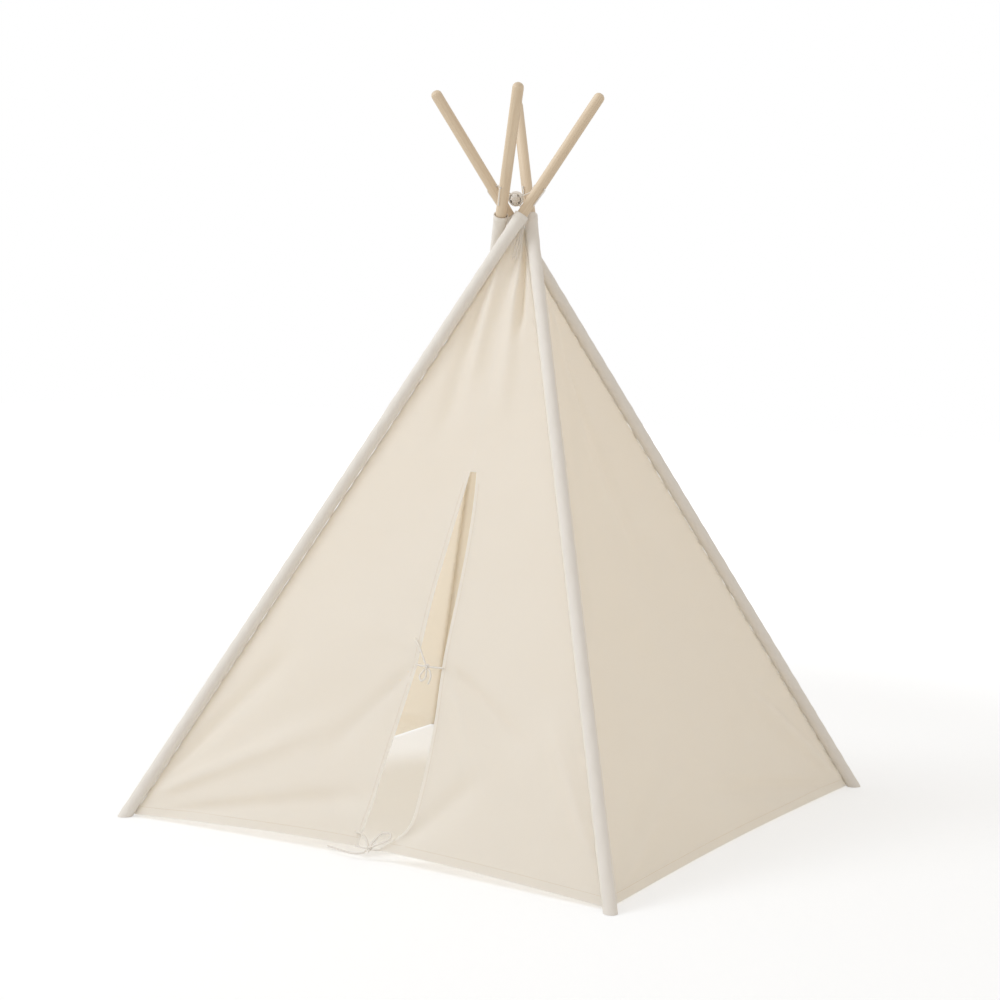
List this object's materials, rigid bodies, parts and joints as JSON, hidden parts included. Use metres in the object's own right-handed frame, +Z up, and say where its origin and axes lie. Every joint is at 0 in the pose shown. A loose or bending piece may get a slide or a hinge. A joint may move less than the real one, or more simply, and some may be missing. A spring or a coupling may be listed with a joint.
{
  "type": "kids teepee",
  "caption": "Child's play teepee: wooden poles laced where they cross, standing in the corner pockets of a canvas cover with a slit door closed by cotton ties.",
  "frame": {"origin": "on the floor under the point where the poles cross", "axes": "+Z up, the door wall faces -Y, +X to the right of someone facing the door"},
  "size_m": [1.252, 1.252, 1.6119],
  "materials": {
    "pole": "sanded, unvarnished pine",
    "canvas": "undyed cotton canvas",
    "cord": "undyed cotton cord",
    "dowel": "plain pin"
  },
  "bodies": {
    "lacing": {"lacing_knot": "cord", "lacing_strand_front_left": "cord", "lacing_strand_front_right": "cord", "lacing_strand_back_right": "cord", "lacing_strand_back_left": "cord", "lacing_tail_left": "cord", "lacing_tail_right": "cord"},
    "pole_front_left": {"pole_lower_front_left": "pole", "pole_upper_front_left": "pole", "pole_dowel_front_left": "dowel", "pocket_front_left": "canvas"},
    "pole_front_right": {"pole_lower_front_right": "pole", "pole_upper_front_right": "pole", "pole_dowel_front_right": "dowel", "pocket_front_right": "canvas"},
    "pole_back_right": {"pole_lower_back_right": "pole", "pole_upper_back_right": "pole", "pole_dowel_back_right": "dowel", "pocket_back_right": "canvas"},
    "pole_back_left": {"pole_lower_back_left": "pole", "pole_upper_back_left": "pole", "pole_dowel_back_left": "dowel", "pocket_back_left": "canvas"},
    "front_wall_left": {"front_wall_left_half": "canvas"},
    "front_wall_right": {"front_wall_right_half": "canvas"},
    "right_wall_left": {"right_wall_left_half": "canvas"},
    "right_wall_right": {"right_wall_right_half": "canvas"},
    "back_wall_left": {"back_wall_left_half": "canvas"},
    "back_wall_right": {"back_wall_right_half": "canvas"},
    "left_wall_left": {"left_wall_left_half": "canvas"},
    "left_wall_right": {"left_wall_right_half": "canvas"},
    "door_left": {"door_flap_left": "canvas", "upper_tie_left": "cord", "upper_tie_knot": "cord", "upper_tie_loop": "cord", "upper_tie_end_long": "cord", "upper_tie_end_short": "cord", "lower_tie_left": "cord", "lower_tie_knot": "cord", "lower_tie_loop": "cord", "lower_tie_end_long": "cord", "lower_tie_end_short": "cord"},
    "door_right": {"door_flap_right": "canvas", "upper_tie_right": "cord", "lower_tie_right": "cord"}
  },
  "joints": [
    {"name": "fold_front_left", "type": "hinge", "parent": "lacing", "child": "pole_front_left", "pos_m": [0.02366, -0.02566, 1.327], "axis": [0.6779, -0.7351, 0], "range_deg": [0, 26], "deforming": ["front_wall_left_half", "front_wall_right_half", "right_wall_left_half", "right_wall_right_half", "back_wall_left_half", "back_wall_right_half", "left_wall_left_half", "left_wall_right_half", "door_flap_left", "door_flap_right", "lacing_strand_front_left", "lacing_strand_front_right", "lacing_strand_back_right", "lacing_strand_back_left", "lacing_tail_left", "lacing_tail_right", "upper_tie_left", "upper_tie_right", "lower_tie_left", "lower_tie_right"]},
    {"name": "fold_front_right", "type": "hinge", "parent": "lacing", "child": "pole_front_right", "pos_m": [0.02566, 0.02366, 1.327], "axis": [0.7351, 0.6779, 0], "range_deg": [0, 26]},
    {"name": "fold_back_right", "type": "hinge", "parent": "lacing", "child": "pole_back_right", "pos_m": [-0.02366, 0.02566, 1.327], "axis": [-0.6779, 0.7351, 0], "range_deg": [0, 26]},
    {"name": "fold_back_left", "type": "hinge", "parent": "lacing", "child": "pole_back_left", "pos_m": [-0.02566, -0.02366, 1.327], "axis": [-0.7351, -0.6779, 0], "range_deg": [0, 26]},
    {"name": "turn_front_left", "type": "hinge", "parent": "pole_front_left", "child": "front_wall_left", "pos_m": [0.02366, -0.02566, 1.327], "axis": [-0.4004, -0.3693, -0.8386], "range_deg": [0, 65.5]},
    {"name": "turn_front_right", "type": "hinge", "parent": "pole_front_right", "child": "front_wall_right", "pos_m": [0.02566, 0.02366, 1.327], "axis": [-0.3693, 0.4004, 0.8386], "range_deg": [0, 86.5]},
    {"name": "turn_right_left", "type": "hinge", "parent": "pole_front_right", "child": "right_wall_left", "pos_m": [0.02566, 0.02366, 1.327], "axis": [0.3693, -0.4004, -0.8386], "range_deg": [0, 65.5]},
    {"name": "turn_right_right", "type": "hinge", "parent": "pole_back_right", "child": "right_wall_right", "pos_m": [-0.02366, 0.02566, 1.327], "axis": [-0.4004, -0.3693, 0.8386], "range_deg": [0, 86.5]},
    {"name": "turn_back_left", "type": "hinge", "parent": "pole_back_right", "child": "back_wall_left", "pos_m": [-0.02366, 0.02566, 1.327], "axis": [0.4004, 0.3693, -0.8386], "range_deg": [0, 65.5]},
    {"name": "turn_back_right", "type": "hinge", "parent": "pole_back_left", "child": "back_wall_right", "pos_m": [-0.02566, -0.02366, 1.327], "axis": [0.3693, -0.4004, 0.8386], "range_deg": [0, 86.5]},
    {"name": "turn_left_left", "type": "hinge", "parent": "pole_back_left", "child": "left_wall_left", "pos_m": [-0.02566, -0.02366, 1.327], "axis": [-0.3693, 0.4004, -0.8386], "range_deg": [0, 65.5]},
    {"name": "turn_left_right", "type": "hinge", "parent": "pole_front_left", "child": "left_wall_right", "pos_m": [0.02366, -0.02566, 1.327], "axis": [0.4004, 0.3693, 0.8386], "range_deg": [0, 86.5]},
    {"name": "door_left_swing", "type": "hinge", "parent": "front_wall_left", "child": "door_left", "pos_m": [0.03729, -0.22904, 0.77735], "axis": [-0.5301, -0.363, -0.7663], "range_deg": [0, 120]},
    {"name": "door_right_swing", "type": "hinge", "parent": "front_wall_right", "child": "door_right", "pos_m": [0.03729, -0.22904, 0.77735], "axis": [-0.4738, 0.3767, 0.796], "range_deg": [0, 120]}
  ],
  "couplings": [
    {"joint": "fold_front_right", "follows": "fold_front_left", "ratio": 1},
    {"joint": "fold_back_right", "follows": "fold_front_left", "ratio": 1},
    {"joint": "fold_back_left", "follows": "fold_front_left", "ratio": 1},
    {"joint": "turn_front_left", "follows": "fold_front_left", "ratio": 2.5077},
    {"joint": "turn_front_right", "follows": "fold_front_left", "ratio": 3.3154},
    {"joint": "turn_right_left", "follows": "fold_front_left", "ratio": 2.5077},
    {"joint": "turn_right_right", "follows": "fold_front_left", "ratio": 3.3154},
    {"joint": "turn_back_left", "follows": "fold_front_left", "ratio": 2.5077},
    {"joint": "turn_back_right", "follows": "fold_front_left", "ratio": 3.3154},
    {"joint": "turn_left_left", "follows": "fold_front_left", "ratio": 2.5077},
    {"joint": "turn_left_right", "follows": "fold_front_left", "ratio": 3.3154}
  ]
}
